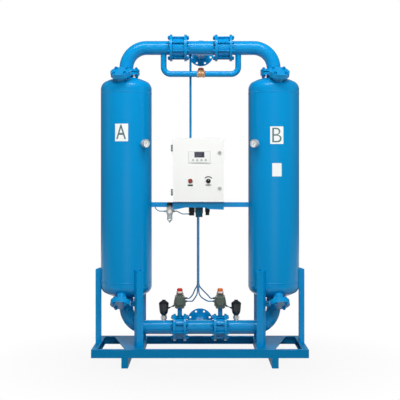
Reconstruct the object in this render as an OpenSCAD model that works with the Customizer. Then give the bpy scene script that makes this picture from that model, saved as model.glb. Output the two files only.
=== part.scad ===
// Twin-tower adsorption air dryer on a channel-steel skid.
// Origin on the floor under the middle of the skid, +Z up, +X to the right seen
// from the front, front at -Y. All sizes in millimetres.

/* [Towers] */
// Outside diameter of each tower
tower_od = 325; // [300:1:340]
// Distance between the tower axes
tower_pitch = 940; // [920:1:980]
// Plate thickness of shell and heads
shell_wall = 8; // [5:0.5:12]
// Height of the lower head seam
lower_seam_z = 505; // [500:1:530]
// Height of the upper head seam
upper_seam_z = 1702; // [1690:1:1780]
// Straight flange of each dished head
head_flange = 25; // [15:1:35]
// Radius of the weld bead on each seam
weld_r = 3; // [2:0.5:5]
// Thickness of the perforated bed screens
screen_t = 6; // [3:1:10]

/* [Legs and skid] */
// Width of a leg channel
leg_w = 46; // [40:1:50]
// Depth of a leg channel
leg_d = 32; // [28:1:36]
// Wall of a leg channel
leg_t = 5; // [3:0.5:6]
// Height to which the legs are welded on the shell
leg_top_z = 590; // [560:1:640]
// Depth of the skid from front to rear
skid_w = 550; // [530:1:600]
// Height of the skid channels
channel_h = 50; // [45:1:60]
// Flange width of the skid channels
channel_b = 37; // [34:1:42]
// Wall of the skid and runner channels
channel_t = 5; // [4:0.5:7]
// Height of the runners under the skid
runner_h = 63; // [50:1:80]
// Flange width of the runners
runner_b = 40; // [36:1:50]
// Diameter of the anchor holes in the runners
anchor_d = 14; // [10:1:18]
// Distance between the anchor holes along a runner
anchor_spacing = 440; // [400:1:460]
// Thickness of the bearer plates under the legs
bearer_t = 6; // [4:1:8]
// Reach of the bearer plates from the tower axis to the middle of the skid
bearer_in = 120; // [115:1:130]
// Reach of the bearer plates from the tower axis to the end of the skid
bearer_out = 97; // [90:1:100]
// Distance of the runners inside the tower axes
runner_in = 10; // [5:1:15]

/* [Piping] */
// Outside diameter of the main pipes
pipe_od = 89; // [80:1:92]
// Wall of the main pipes
pipe_wall = 4; // [3:0.5:6]
// Centre-line radius of the main elbows
bend_r = 130; // [115:1:140]
// Outside diameter of the main flanges
flange_od = 170; // [166:1:176]
// Thickness of the main flanges
flange_t = 16; // [12:1:18]
// Height of the raised sealing face
face_t = 2; // [1:0.5:3]
// Diameter of the raised sealing face
face_d = 118; // [110:1:122]
// Bolt circle of the main flanges
flange_pcd = 140; // [138:1:142]
// Bolts in each main flange
flange_bolts = 8; // [4:4:8]
// Diameter of the flange bolts
bolt_d = 12; // [10:1:12]
// Diameter of the bolt holes
bolt_hole_d = 14; // [13:0.5:15]
// Neck between the upper head and its flange
top_stub = 9; // [6:1:20]
// Neck between the lower head and its flange
bottom_stub = 12; // [8:1:20]
// Straight pipe between the upper flange and its elbow
top_leg = 10; // [4:1:30]
// Straight pipe between the lower flange and its elbow
bottom_leg = 10; // [4:1:20]
// Distance of the connection faces behind the header axis
branch_y = 272; // [240:1:274]
// Outside diameter of the wafer valve bodies
wafer_od = 126; // [122:1:127]

/* [Outlet side] */
// Sideways place of the outlet header
header_x = 6; // [0:1:10]
// Half length of the outlet header between its faces
outlet_half = 108; // [104:1:114]
// Length of a check valve body
check_len = 72; // [66:1:80]
// Diameter of the check valve seat
check_seat_d = 62; // [56:1:66]
// Lift of the check valve plate
check_lift = 15; // [8:1:18]
// Outside diameter of the purge pipe
purge_od = 38; // [32:1:40]
// Wall of the purge pipe
purge_wall = 3; // [2:0.5:4]
// Distance of each purge branch from the middle of the outlet header
purge_x = 238; // [232:1:246]
// Drop of the purge line below the outlet header
purge_drop = 166; // [150:1:176]
// Bend radius of the purge pipe
purge_bend = 45; // [40:1:55]
// Outside diameter of the cable conduit
conduit_d = 14; // [10:1:18]
// Sideways place of the conduit
conduit_x = -61; // [-70:1:-52]
// Place of the conduit behind the header axis
conduit_y = 34; // [30:1:36]

/* [Inlet side] */
// Half length of the inlet header between its faces
inlet_half = 106; // [102:1:110]
// Length of a butterfly valve body
butterfly_len = 46; // [42:1:50]
// Diameter of the butterfly valve shaft
shaft_d = 12; // [10:1:14]
// Thickness of the butterfly disc
disc_t = 6; // [4:1:8]
// Height of the actuator seat above the inlet header axis
actuator_seat = 129; // [120:1:140]
// Width of an actuator
actuator_w = 70; // [64:1:76]
// Height of an actuator
actuator_h = 86; // [80:1:92]
// Length of an actuator barrel
actuator_l = 104; // [90:1:120]
// Thickness of an actuator end cap
end_cap_t = 16; // [10:1:20]
// Distance of each exhaust valve from the middle
exhaust_x = 231; // [222:1:240]
// Radius of the exhaust valve heads
exhaust_head_r = 32; // [28:1:34]
// Height of the exhaust valve heads
exhaust_head_h = 100; // [90:1:110]

/* [Ports] */
// Outside diameter of the fill and drain nozzles
port_od = 60; // [56:1:64]
// Outside diameter of the port flanges
port_flange_od = 128; // [124:1:132]
// Thickness of the port flanges and covers
port_flange_t = 15; // [12:1:18]
// Bolt circle of the ports
port_pcd = 98; // [94:1:100]
// Distance of the nozzle root from the tower axis
port_root_r = 100; // [99:1:104]
// Lean of the ports from the tower axis
port_tilt = 30; // [29:1:31]
// Turn of the ports outwards from the front
port_turn = 9; // [6:1:12]
// Distance of the fill flange face from the head tangent line along its nozzle
fill_reach = 103; // [100:1:108]
// Distance of the drain flange face from the head tangent line along its nozzle
drain_reach = 113; // [110:1:118]

/* [Control box] */
// Width of the control box
box_w = 320; // [310:1:330]
// Height of the control box
box_h = 400; // [380:1:420]
// Depth of the box body
box_d = 180; // [160:1:190]
// Sheet thickness of box and door
sheet_t = 2; // [1.5:0.5:3]
// Width of the rim around the box opening
box_rim = 18; // [14:1:20]
// Depth of the door pan
door_d = 20; // [16:1:24]
// Sideways place of the box
box_x = -10; // [-14:1:0]
// Height of the top of the cross bar
bar_top_z = 1009; // [980:1:1040]
// Height of the cross bar section
bar_h = 31; // [26:1:36]
// Thickness of the tray plate
tray_t = 4; // [3:1:6]
// Depth of the tray apron at its ends
apron_h = 50; // [46:1:56]
// Depth of the tray apron in the middle
apron_mid_h = 36; // [32:1:40]
// Radius of the hinge knuckles
knuckle_r = 5.5; // [5:0.5:6]
// Diameter of the hinge pins
hinge_pin_d = 6; // [5:0.5:7]
// Running clearance on the radius of pins and shafts
fit = 0.05; // [0.03:0.01:0.1]

/* [Instruments] */
// Diameter of the pressure gauges
gauge_d = 50; // [46:1:56]
// Depth of the gauge cases
gauge_depth = 28; // [24:1:32]
// Height of the pressure gauges
gauge_z = 1378; // [1300:1:1450]
// Turn of the gauges from the front towards the middle
gauge_turn = 40; // [36:1:44]
// Distance of the gauge back from the shell
gauge_stand = 24; // [20:1:32]
// Width of the filter regulator
frl_w = 40; // [36:1:44]
// Distance of the filter regulator from the side of the control box
frl_offset = 22; // [21:1:26]
// Outside diameter of the air tubes
tube_d = 8; // [6:1:8]

/* [Hidden] */
$fn = 64;

// Colours of the finishes
blue = [0.0, 0.45, 0.75];
white = [0.93, 0.94, 0.94];
steel = [0.7, 0.71, 0.72];
dark = [0.1, 0.11, 0.12];
olive = [0.36, 0.4, 0.37];
brass = [0.72, 0.5, 0.25];

// Gap left between faces that are welded or screwed together
seat_gap = 0.2;
// Extra length of a cutting tool past the face that it cuts
over = 1;

// Dished head of two arcs that meet in a tangent, close to a two-to-one ellipse
tower_r = tower_od / 2;
tower_x = tower_pitch / 2;
bore_r = tower_r - shell_wall;
head_knuckle_r = 0.17 * tower_od;
head_crown_r = 0.9 * tower_od;
head_knuckle_x = tower_r - head_knuckle_r;
head_arm = head_crown_r - head_knuckle_r;
head_drop = sqrt(head_arm * head_arm - head_knuckle_x * head_knuckle_x);
head_rise = head_crown_r - head_drop;
upper_tangent_z = upper_seam_z + head_flange;
lower_tangent_z = lower_seam_z - head_flange;
vessel_top = upper_tangent_z + head_rise;
vessel_bottom = lower_tangent_z - head_rise;
vessel_mid_z = (upper_tangent_z + lower_tangent_z) / 2;

// Heights and places along the main piping
pipe_r = pipe_od / 2;
pipe_in_r = pipe_r - pipe_wall;
flange_stack = flange_t + face_t;
elbow_top_z = vessel_top + top_stub + 2 * flange_stack;
outlet_z = elbow_top_z + top_leg + bend_r;
elbow_bottom_z = vessel_bottom - bottom_stub - 2 * flange_stack;
inlet_z = elbow_bottom_z - bottom_leg - bend_r;
outlet_face = outlet_half + check_len;
inlet_face = inlet_half + butterfly_len;
butterfly_x = inlet_half + butterfly_len / 2;
nut_t = 10;
nut_r = bolt_d * 0.9;
stud_tail = 4;
purge_z = outlet_z - purge_drop;
purge_valve_half = 25;
purge_stem_r = 4;
purge_bonnet_h = purge_od / 2 + 3;
valve_bore_r = pipe_in_r;

// Skid
skid_l = tower_pitch + tower_od + 2 * leg_d + 1;
skid_top_z = runner_h + channel_h;
runner_x = tower_x - runner_in;
bearer_inner_x = tower_x - bearer_in;
bearer_front_x = runner_x;
bearer_rear_x = tower_x + bearer_out;
bearer_edge_y = skid_w / 2 - channel_b;

// Bed between its screens
bed_low_z = lower_seam_z + 15;
bed_high_z = upper_seam_z - 22;
bed_gap = 0.3;
screen_ring = 12;
screen_hole_d = 24;

// Control box
box_z = bar_top_z + tray_t;
box_left = box_x - box_w / 2;
box_right = box_x + box_w / 2;
box_front_y = -box_d / 2;
door_gap = 2;
door_back_y = box_front_y - door_gap;
door_front_y = door_back_y - door_d;
hinge_x = box_left - knuckle_r - 1.5;
hinge_y = box_front_y - door_gap / 2;
hinge_heights = [box_z + 60, box_z + box_h - 62];
hinge_l = 42;
hinge_mid_l = 20;
lock_x = box_right - 27;
lock_heights = [box_z + 84, box_z + 307];
lock_hole_r = 9;
lock_cam_l = 22;
panel_row_z = box_z + 131;
knob_x = box_x + 62;
lamp_x = box_x - 51;
panel_hole_r = 11.2;
display_x = box_x + 6;
display_z = box_z + 281;
display_w = 138;
display_h = 74;
display_body_w = 124;
display_body_h = 62;
display_body_d = 58;
bezel_t = 3;

// Actuators and exhaust valves
shaft_r = shaft_d / 2;
actuator_z = inlet_z + actuator_seat;
actuator_mid_z = actuator_z + actuator_h / 2;
actuator_top_z = actuator_z + actuator_h;
indicator_h = 34;
exhaust_z = inlet_z + pipe_r + 31;

// Instruments
gauge_r = gauge_d / 2;
dial_recess = 6;
needle_t = 1;
frl_x = box_left - frl_offset;
frl_body_z = bar_top_z - 74;
frl_body_h = 42;
frl_y = -bar_h / 2 - frl_w / 2;
frl_port_z = frl_body_h / 2 - 4;
frl_fitting = 8;
island_z = bar_top_z - 30;
island_y = -bar_h / 2 - 20;
// Each valve of the island: left edge, width and drop
island_slots = [[box_x - 61, 38, 54], [box_x - 21, 50, 64], [box_x + 42, 30, 52]];
coil_inset = 3;
tube_r = tube_d / 2;
// Air ports of an actuator: place along its barrel and height above its middle
actuator_ports = [[12, 11], [-12, -5]];
air_boss = 6;
air_boss_r = 7;
// Line of each pilot tube, from the actuator wall to the axis of the exhaust head
pilot_from = [butterfly_x + actuator_w / 2 - 8, -16, actuator_z + 14];
pilot_to = [exhaust_x, -10, exhaust_z + 36];
pilot_boss = 16;
// Gap between the end of a tube and its fitting
tube_gap = 0.3;

// Places the model of the right-hand tower B, or its mirror image for tower A.
module on_side(side) {
    mirror([side < 0 ? 1 : 0, 0, 0]) children();
}

// Ring of copies about Z, set half a step round.
module straddle_ring(count, radius) {
    for (i = [0:count - 1])
        rotate([0, 0, (i + 0.5) * 360 / count]) translate([radius, 0, 0]) children();
}

// Flange along +Z with its raised face on top. The bore is cut by the pipe.
module flange() {
    difference() {
        union() {
            cylinder(d = flange_od, h = flange_t);
            cylinder(d = face_d, h = flange_stack);
        }
        straddle_ring(flange_bolts, flange_pcd / 2)
            translate([0, 0, -over]) cylinder(d = bolt_hole_d, h = flange_stack + 2 * over);
    }
}

// Bolt or stud along +Z that clamps a stack from 0 to grip, with a nut at each end.
module clamp_bolt(grip, diameter, nut_radius) {
    translate([0, 0, -nut_t - stud_tail]) cylinder(d = diameter, h = grip + 2 * (nut_t + stud_tail));
    translate([0, 0, -nut_t]) cylinder(r = nut_radius, h = nut_t, $fn = 6);
    translate([0, 0, grip]) cylinder(r = nut_radius, h = nut_t, $fn = 6);
}

// Channel section with its web on X = 0 and its flanges towards +X, along +Y.
module channel(height, breadth, wall, length) {
    rotate([-90, 0, 0]) mirror([0, 1, 0]) linear_extrude(length) difference() {
        square([breadth, height]);
        translate([wall, wall]) square([breadth, height - 2 * wall]);
    }
}

// Round bar through a list of points with a bend at every corner.
function unit(v) = v / norm(v);
function bend_angle(p, i) = acos(unit(p[i] - p[i - 1]) * unit(p[i + 1] - p[i]));
function trim(p, i, bend) = (i == 0 || i == len(p) - 1) ? 0 : bend * tan(bend_angle(p, i) / 2);
module along(from, to) {
    d = to - from;
    flat = norm([d[0], d[1]]);
    translate(from) rotate([0, atan2(flat, d[2]), atan2(d[1], d[0])]) children();
}
module bent_bar(points, radius, bend) {
    for (i = [0:len(points) - 2]) {
        u = unit(points[i + 1] - points[i]);
        a = points[i] + u * trim(points, i, bend);
        b = points[i + 1] - u * trim(points, i + 1, bend);
        along(a, b) cylinder(r = radius, h = norm(b - a));
    }
    for (i = [1:len(points) - 2]) {
        u = unit(points[i] - points[i - 1]);
        v = unit(points[i + 1] - points[i]);
        side = unit(v - (u * v) * u);
        up = cross(-side, u);
        centre = points[i] - u * trim(points, i, bend) + side * bend;
        multmatrix([[-side[0], u[0], up[0], centre[0]],
                    [-side[1], u[1], up[1], centre[1]],
                    [-side[2], u[2], up[2], centre[2]],
                    [0, 0, 0, 1]])
            rotate_extrude(angle = bend_angle(points, i)) translate([bend, 0]) circle(r = radius);
    }
}

// Skid: four channels with their webs outwards
module skid_long_beam(side) {
    color(blue) translate([skid_l / 2, side * skid_w / 2, runner_h])
        rotate([0, 0, 90]) mirror([side > 0 ? 1 : 0, 0, 0])
            channel(channel_h, channel_b, channel_t, skid_l);
}
module skid_side_beam(side) {
    color(blue) on_side(side) translate([skid_l / 2, -skid_w / 2 + channel_b, runner_h])
        mirror([1, 0, 0]) channel(channel_h, channel_b, channel_t, skid_w - 2 * channel_b);
}

// Runners with closed ends and the anchor holes in their lower flanges
module skid_runners() {
    color(blue) for (side = [-1, 1]) on_side(side)
        translate([runner_x - runner_b / 2, -skid_w / 2, 0]) difference() {
            union() {
                channel(runner_h, runner_b, channel_t, skid_w);
                for (y = [0, skid_w - channel_t]) translate([0, y, 0]) cube([runner_b, channel_t, runner_h]);
            }
            for (along_y = [-1, 1])
                translate([(runner_b + channel_t) / 2, skid_w / 2 + along_y * anchor_spacing / 2, -over])
                    cylinder(d = anchor_d, h = channel_t + 2 * over);
        }
}

// Folded plate between the long beams that carries the two inner legs
module bearer(side) {
    color(blue) on_side(side) {
        translate([0, 0, skid_top_z - bearer_t]) linear_extrude(bearer_t)
            polygon([[bearer_inner_x, -bearer_edge_y], [bearer_front_x, -bearer_edge_y],
                     [bearer_rear_x, bearer_edge_y], [bearer_inner_x, bearer_edge_y]]);
        translate([bearer_inner_x, -bearer_edge_y, runner_h])
            cube([bearer_t, 2 * bearer_edge_y, channel_h]);
    }
}

// Three channel legs welded to the shell, cut to its curve, with sloped tops
module tower_legs(side) {
    top_slope = 20;
    color(blue) on_side(side) translate([tower_x, 0, 0]) for (turn = [0, 120, 240]) difference() {
        rotate([0, 0, turn]) translate([tower_r - 3, -leg_w / 2, skid_top_z]) difference() {
            cube([leg_d + 3, leg_w, leg_top_z - skid_top_z]);
            translate([-over, leg_t, -over])
                cube([leg_d + 3 + over - leg_t, leg_w - 2 * leg_t, leg_top_z - skid_top_z + 2 * over]);
            translate([leg_d + 3, -over, leg_top_z - skid_top_z - 8]) rotate([0, -90 + top_slope, 0])
                cube([40, leg_w + 2 * over, 40]);
        }
        translate([0, 0, skid_top_z - over]) cylinder(r = tower_r + seat_gap, h = leg_top_z);
        translate([0, 0, lower_seam_z]) rotate_extrude() translate([tower_r - weld_r / 2, 0])
            circle(r = weld_r + seat_gap);
    }
}

// Half section of a dished head on its tangent line, set in by a wall
module head_section(inset) {
    reach = head_crown_r / head_arm;
    intersection() {
        translate([0, -head_drop]) circle(r = head_crown_r - inset);
        polygon([[0, 0], [head_knuckle_x, 0],
                 [head_knuckle_x * (1 + reach), head_drop * reach], [0, head_drop * reach]]);
    }
    intersection() {
        translate([head_knuckle_x, 0]) circle(r = head_knuckle_r - inset);
        translate([head_knuckle_x, 0]) square(head_knuckle_r);
    }
}
module vessel_form(inset) {
    rotate_extrude() {
        translate([0, upper_tangent_z]) head_section(inset);
        translate([0, lower_tangent_z]) square([tower_r - inset, upper_tangent_z - lower_tangent_z]);
        translate([0, lower_tangent_z]) mirror([0, 1]) head_section(inset);
    }
}

// Frame of a port: +Z runs out along the nozzle, from its root on the tangent plane.
module port_frame(lower) {
    translate([0, 0, vessel_mid_z]) mirror([0, 0, lower ? 1 : 0])
        translate([0, 0, upper_tangent_z - vessel_mid_z])
            rotate([0, 0, port_turn]) translate([0, -port_root_r, 0]) rotate([port_tilt, 0, 0]) children();
}
module port_holes() {
    straddle_ring(4, port_pcd / 2) translate([0, 0, -over])
        cylinder(d = bolt_hole_d, h = port_flange_t + 2 * over);
}
function port_reach(lower) = lower ? drain_reach : fill_reach;
module port_nozzle(lower) {
    root = 20;
    translate([0, 0, root]) cylinder(d = port_od, h = port_reach(lower) - root);
    translate([0, 0, port_reach(lower) - port_flange_t]) difference() {
        cylinder(d = port_flange_od, h = port_flange_t);
        port_holes();
    }
}

// Pressure vessel with its heads, seams, nozzles and the rings that hold the screens
module vessel(side) {
    color(blue) on_side(side) translate([tower_x, 0, 0]) {
        difference() {
            union() {
                vessel_form(0);
                for (z = [lower_seam_z, upper_seam_z])
                    translate([0, 0, z]) rotate_extrude() translate([tower_r - weld_r / 2, 0])
                        circle(r = weld_r);
                translate([0, 0, vessel_top - 20]) cylinder(r = pipe_r, h = 20 + top_stub + over);
                translate([0, 0, vessel_top + top_stub]) flange();
                translate([0, 0, vessel_bottom - bottom_stub - over])
                    cylinder(r = pipe_r, h = 20 + bottom_stub);
                translate([0, 0, vessel_bottom - bottom_stub]) mirror([0, 0, 1]) flange();
                for (lower = [false, true]) port_frame(lower) port_nozzle(lower);
            }
            vessel_form(shell_wall);
            translate([0, 0, vessel_mid_z]) cylinder(r = pipe_in_r, h = elbow_top_z - vessel_mid_z);
            translate([0, 0, elbow_bottom_z]) cylinder(r = pipe_in_r, h = vessel_mid_z - elbow_bottom_z);
            for (lower = [false, true]) port_frame(lower)
                cylinder(d = port_od - 2 * pipe_wall, h = port_reach(lower) + over);
        }
        for (z = [bed_low_z - 2 * screen_t, bed_high_z + screen_t])
            translate([0, 0, z]) difference() {
                cylinder(r = bore_r + shell_wall / 2, h = screen_t);
                translate([0, 0, -over]) cylinder(r = bore_r - screen_ring, h = screen_t + 2 * over);
            }
    }
}

// Bed of desiccant beads between the screens
module desiccant_bed(side) {
    color([0.9, 0.88, 0.82]) translate([side * tower_x, 0, bed_low_z])
        cylinder(r = bore_r - bed_gap, h = bed_high_z - bed_low_z);
}
module bed_screens() {
    color(steel) for (side = [-1, 1]) for (z = [bed_low_z - screen_t, bed_high_z])
        translate([side * tower_x, 0, z]) difference() {
            cylinder(r = bore_r - bed_gap, h = screen_t);
            for (ring = [1:3]) for (i = [0:6 * ring - 1])
                rotate([0, 0, i * 60 / ring]) translate([ring * (bore_r - screen_ring) / 3.5, 0, -over])
                    cylinder(d = screen_hole_d, h = screen_t + 2 * over);
        }
}

// Blind covers of the ports and their bolts
module port_covers(lower) {
    color(blue) for (side = [-1, 1]) on_side(side) translate([tower_x, 0, 0]) port_frame(lower)
        translate([0, 0, port_reach(lower)]) difference() {
            cylinder(d = port_flange_od, h = port_flange_t);
            port_holes();
        }
}
module port_bolts() {
    color(blue) for (side = [-1, 1]) for (lower = [false, true])
        on_side(side) translate([tower_x, 0, 0]) port_frame(lower)
            translate([0, 0, port_reach(lower) - port_flange_t]) straddle_ring(4, port_pcd / 2)
                clamp_bolt(2 * port_flange_t, bolt_d, nut_r);
}

// Elbow in the XZ plane: its centre is at the origin, it runs from +X up to +Z.
module elbow(radius) {
    rotate([90, 0, 0]) rotate_extrude(angle = 90) translate([bend_r, 0]) circle(r = radius);
}

// Main pipe from a tower nozzle round its elbow to a flange near the middle
module tower_pipe(end_z, run_z, face_x) {
    up = run_z > end_z;
    bend_z = up ? run_z - bend_r : run_z + bend_r;
    bore_z = up ? end_z - 2 * flange_stack : end_z + 2 * flange_stack;
    difference() {
        union() {
            translate([tower_x, 0, end_z]) mirror([0, 0, up ? 1 : 0]) flange();
            translate([tower_x, 0, min(end_z, bend_z)]) cylinder(r = pipe_r, h = abs(bend_z - end_z));
            translate([tower_x - bend_r, 0, bend_z]) mirror([0, 0, up ? 0 : 1]) elbow(pipe_r);
            translate([face_x, 0, run_z]) rotate([0, 90, 0])
                cylinder(r = pipe_r, h = tower_x - bend_r - face_x);
            translate([face_x + flange_stack, 0, run_z]) rotate([0, -90, 0]) flange();
        }
        translate([tower_x - bend_r, 0, bend_z]) mirror([0, 0, up ? 0 : 1]) elbow(pipe_in_r);
        translate([face_x - over, 0, run_z]) rotate([0, 90, 0])
            cylinder(r = pipe_in_r, h = tower_x - bend_r - face_x + over);
        translate([tower_x, 0, min(bore_z, bend_z)]) cylinder(r = pipe_in_r, h = abs(bend_z - bore_z));
    }
}
module outlet_pipe(side) {
    color(blue) on_side(side) tower_pipe(elbow_top_z, outlet_z, outlet_face + side * header_x);
}
module inlet_pipe(side) {
    color(blue) on_side(side) tower_pipe(elbow_bottom_z, inlet_z, inlet_face);
}

// Tee with a flange at each end and a connection flange at the rear
module header(half) {
    difference() {
        union() {
            translate([-half, 0, 0]) rotate([0, 90, 0]) cylinder(r = pipe_r, h = 2 * half);
            for (side = [-1, 1]) on_side(side)
                translate([half - flange_stack, 0, 0]) rotate([0, 90, 0]) flange();
            rotate([-90, 0, 0]) cylinder(r = pipe_r, h = branch_y);
            translate([0, branch_y - flange_stack, 0]) rotate([-90, 0, 0]) flange();
        }
        translate([-half - over, 0, 0]) rotate([0, 90, 0]) cylinder(r = pipe_in_r, h = 2 * (half + over));
        rotate([-90, 0, 0]) cylinder(r = pipe_in_r, h = branch_y + over);
    }
}
module outlet_header() {
    color(blue) translate([header_x, 0, outlet_z]) header(outlet_half);
}
module inlet_header() {
    color(blue) translate([0, 0, inlet_z]) header(inlet_half);
}

// Studs through a wafer valve and its two flanges, and bolts of a tower flange
module wafer_studs(half, length) {
    translate([half - flange_stack, 0, 0]) rotate([0, 90, 0])
        straddle_ring(flange_bolts, flange_pcd / 2) clamp_bolt(length + 2 * flange_stack, bolt_d, nut_r);
}
module tower_flange_bolts(end_z) {
    translate([tower_x, 0, end_z]) straddle_ring(flange_bolts, flange_pcd / 2)
        clamp_bolt(2 * flange_stack, bolt_d, nut_r);
}
module outlet_bolts() {
    color(blue) for (side = [-1, 1]) on_side(side) {
        translate([side * header_x, 0, outlet_z]) wafer_studs(outlet_half, check_len);
        tower_flange_bolts(vessel_top + top_stub);
    }
}
module inlet_bolts() {
    color(blue) for (side = [-1, 1]) on_side(side) {
        translate([0, 0, inlet_z]) wafer_studs(inlet_half, butterfly_len);
        tower_flange_bolts(elbow_bottom_z);
    }
}

// Lift check valve: a seat on the tower side and a spider that guides the stem
check_stem_r = 5;
check_hub_x = 10;
check_hub_l = 12;
check_seat_t = 12;
check_plate_t = 5;
module check_frame(side) {
    on_side(side) translate([side * header_x + outlet_half, 0, outlet_z]) rotate([0, 90, 0]) children();
}
module check_valve(side) {
    color(blue) check_frame(side) difference() {
        union() {
            difference() {
                cylinder(d = wafer_od, h = check_len);
                translate([0, 0, -over]) cylinder(r = valve_bore_r, h = check_len + 2 * over);
            }
            translate([0, 0, check_len - check_seat_t]) cylinder(r = valve_bore_r + over, h = check_seat_t);
            translate([0, 0, check_hub_x]) {
                cylinder(r = 2 * check_stem_r, h = check_hub_l);
                for (i = [0:2]) rotate([0, 0, 120 * i]) translate([0, -3, 0])
                    cube([valve_bore_r + over, 6, check_hub_l]);
            }
        }
        cylinder(r = check_stem_r + fit, h = check_len / 2);
        translate([0, 0, check_len - check_seat_t - over])
            cylinder(d = check_seat_d, h = check_seat_t + 2 * over);
    }
}
module check_plate(side) {
    plate_z = check_len - check_seat_t - check_plate_t - bed_gap;
    color(steel) check_frame(side) {
        translate([0, 0, plate_z]) cylinder(d = check_seat_d + 10, h = check_plate_t);
        translate([0, 0, 2]) cylinder(r = check_stem_r, h = plate_z);
    }
}

// Wafer butterfly valve with a tall neck, its disc and shaft
neck_r = 14.5;
pad_w = 50;
pad_t = 8;
foot_l = 57;
module butterfly_valve(side) {
    color(blue) on_side(side) translate([butterfly_x, 0, inlet_z]) difference() {
        union() {
            translate([-butterfly_len / 2, 0, 0]) rotate([0, 90, 0])
                cylinder(d = wafer_od, h = butterfly_len);
            translate([0, 0, pipe_r]) cylinder(r = neck_r, h = actuator_seat - pipe_r - pad_t / 2);
            translate([-pad_w / 2, -pad_w / 2, actuator_seat - pad_t]) cube([pad_w, pad_w, pad_t]);
        }
        translate([-butterfly_len / 2 - over, 0, 0]) rotate([0, 90, 0])
            cylinder(r = valve_bore_r, h = butterfly_len + 2 * over);
        translate([0, 0, -foot_l]) cylinder(r = shaft_r + fit, h = foot_l + actuator_seat + over);
    }
}
module butterfly_disc(side) {
    color(steel) on_side(side) translate([butterfly_x, 0, inlet_z]) {
        translate([-disc_t / 2, 0, 0]) rotate([0, 90, 0]) cylinder(r = valve_bore_r - 0.7, h = disc_t);
        translate([0, 0, -32]) cylinder(r = shaft_r + 3, h = 64);
        translate([0, 0, -foot_l + bed_gap])
            cylinder(r = shaft_r, h = foot_l - bed_gap + actuator_seat + actuator_h + 2);
    }
}

// Rack-and-pinion actuator: an extruded barrel along Y with round end caps
module actuator(side) {
    barrel_r = actuator_w / 2;
    cap_r = barrel_r - 4;
    color(olive) on_side(side) translate([butterfly_x, 0, actuator_mid_z]) difference() {
        union() {
            rotate([90, 0, 0]) translate([0, 0, -actuator_l / 2]) linear_extrude(actuator_l) {
                circle(r = barrel_r);
                translate([-actuator_w / 2 + 5, -actuator_h / 2]) square([actuator_w - 10, actuator_h / 2]);
                translate([-actuator_w / 2 + 12, 0]) square([actuator_w - 24, actuator_h / 2 - 5]);
                translate([-actuator_w / 2 - 3, -actuator_h / 2 + 12]) square([actuator_w + 6, 18]);
            }
            for (end = [-1, 1]) translate([0, end * actuator_l / 2, 0]) rotate([end * -90, 0, 0]) {
                cylinder(r = cap_r, h = end_cap_t - 6);
                translate([0, 0, end_cap_t - 6]) cylinder(r1 = cap_r, r2 = cap_r - 6, h = 6);
                translate([-actuator_w / 2 + 6, -4, 0]) cube([actuator_w - 12, actuator_h / 2 - 2, 8]);
            }
            translate([0, 0, actuator_h / 2 - 10]) cylinder(r = 18, h = 10);
            for (port = actuator_ports) translate([0, port[0], port[1]]) rotate([0, -90, 0])
                cylinder(r = air_boss_r, h = barrel_r + air_boss, $fn = 6);
            translate([-butterfly_x, 0, -actuator_mid_z]) along(pilot_from, pilot_to)
                cylinder(r = air_boss_r - 1, h = pilot_boss);
        }
        translate([0, 0, -actuator_h]) cylinder(r = shaft_r + fit, h = 2 * actuator_h);
    }
}
module indicator(side) {
    color(side < 0 ? [0.85, 0.12, 0.1] : [0.95, 0.42, 0.12]) on_side(side)
        translate([butterfly_x, 0, actuator_top_z + 2]) rotate_extrude()
            polygon([[0, 0], [21, 0], [21, 6], [17, 8], [17, 13], [18, 15], [18, indicator_h - 8],
                     [12, indicator_h - 2], [0, indicator_h - 2]]);
}

// Exhaust valves on the inlet pipes: an angle body and a piston head
module exhaust_valves() {
    body_z = exhaust_z - 14;
    stem_r = 15;
    branch_r = 13;
    branch_l = 46;
    nut_l = 16;
    silencer_l = 44;
    tip_l = 12;
    silencer_y = branch_l + nut_l / 4;
    color(steel) for (side = [-1, 1]) on_side(side) translate([exhaust_x, 0, 0]) difference() {
        union() {
            translate([0, 0, inlet_z + pipe_r - 8])
                cylinder(r = stem_r, h = exhaust_z - inlet_z - pipe_r + 8);
            translate([0, 0, body_z - 8]) cylinder(r = stem_r + 5, h = 14, $fn = 6);
            translate([0, 0, body_z]) rotate([-90, 0, 0]) cylinder(r = branch_r, h = branch_l);
            translate([0, silencer_y - nut_l, body_z]) rotate([-90, 0, 0])
                cylinder(r = branch_r + 6, h = nut_l, $fn = 6);
            translate([0, silencer_y, body_z]) rotate([-90, 0, 0]) cylinder(r = stem_r, h = silencer_l);
            translate([0, silencer_y + silencer_l, body_z]) rotate([-90, 0, 0])
                cylinder(r1 = stem_r, r2 = stem_r - tip_l / 2, h = tip_l);
        }
        translate([-pipe_od, 0, inlet_z]) rotate([0, 90, 0]) cylinder(r = pipe_r + seat_gap, h = 2 * pipe_od);
    }
}
module exhaust_heads() {
    top = exhaust_head_h;
    color(dark) for (side = [-1, 1]) on_side(side) translate([exhaust_x, 0, exhaust_z]) {
        rotate_extrude()
            polygon([[0, 0], [13, 0], [exhaust_head_r - 8, 14], [exhaust_head_r - 4, 30],
                     [exhaust_head_r, top - 26], [exhaust_head_r - 2, top - 18],
                     [15, top - 7], [0, top - 7]]);
        translate([0, 0, top - 7]) cylinder(r = 12, h = 7, $fn = 6);
        translate([-exhaust_x, 0, -exhaust_z]) along(pilot_to, pilot_from)
            cylinder(r = air_boss_r - 1, h = exhaust_head_r + air_boss);
    }
}

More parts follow.
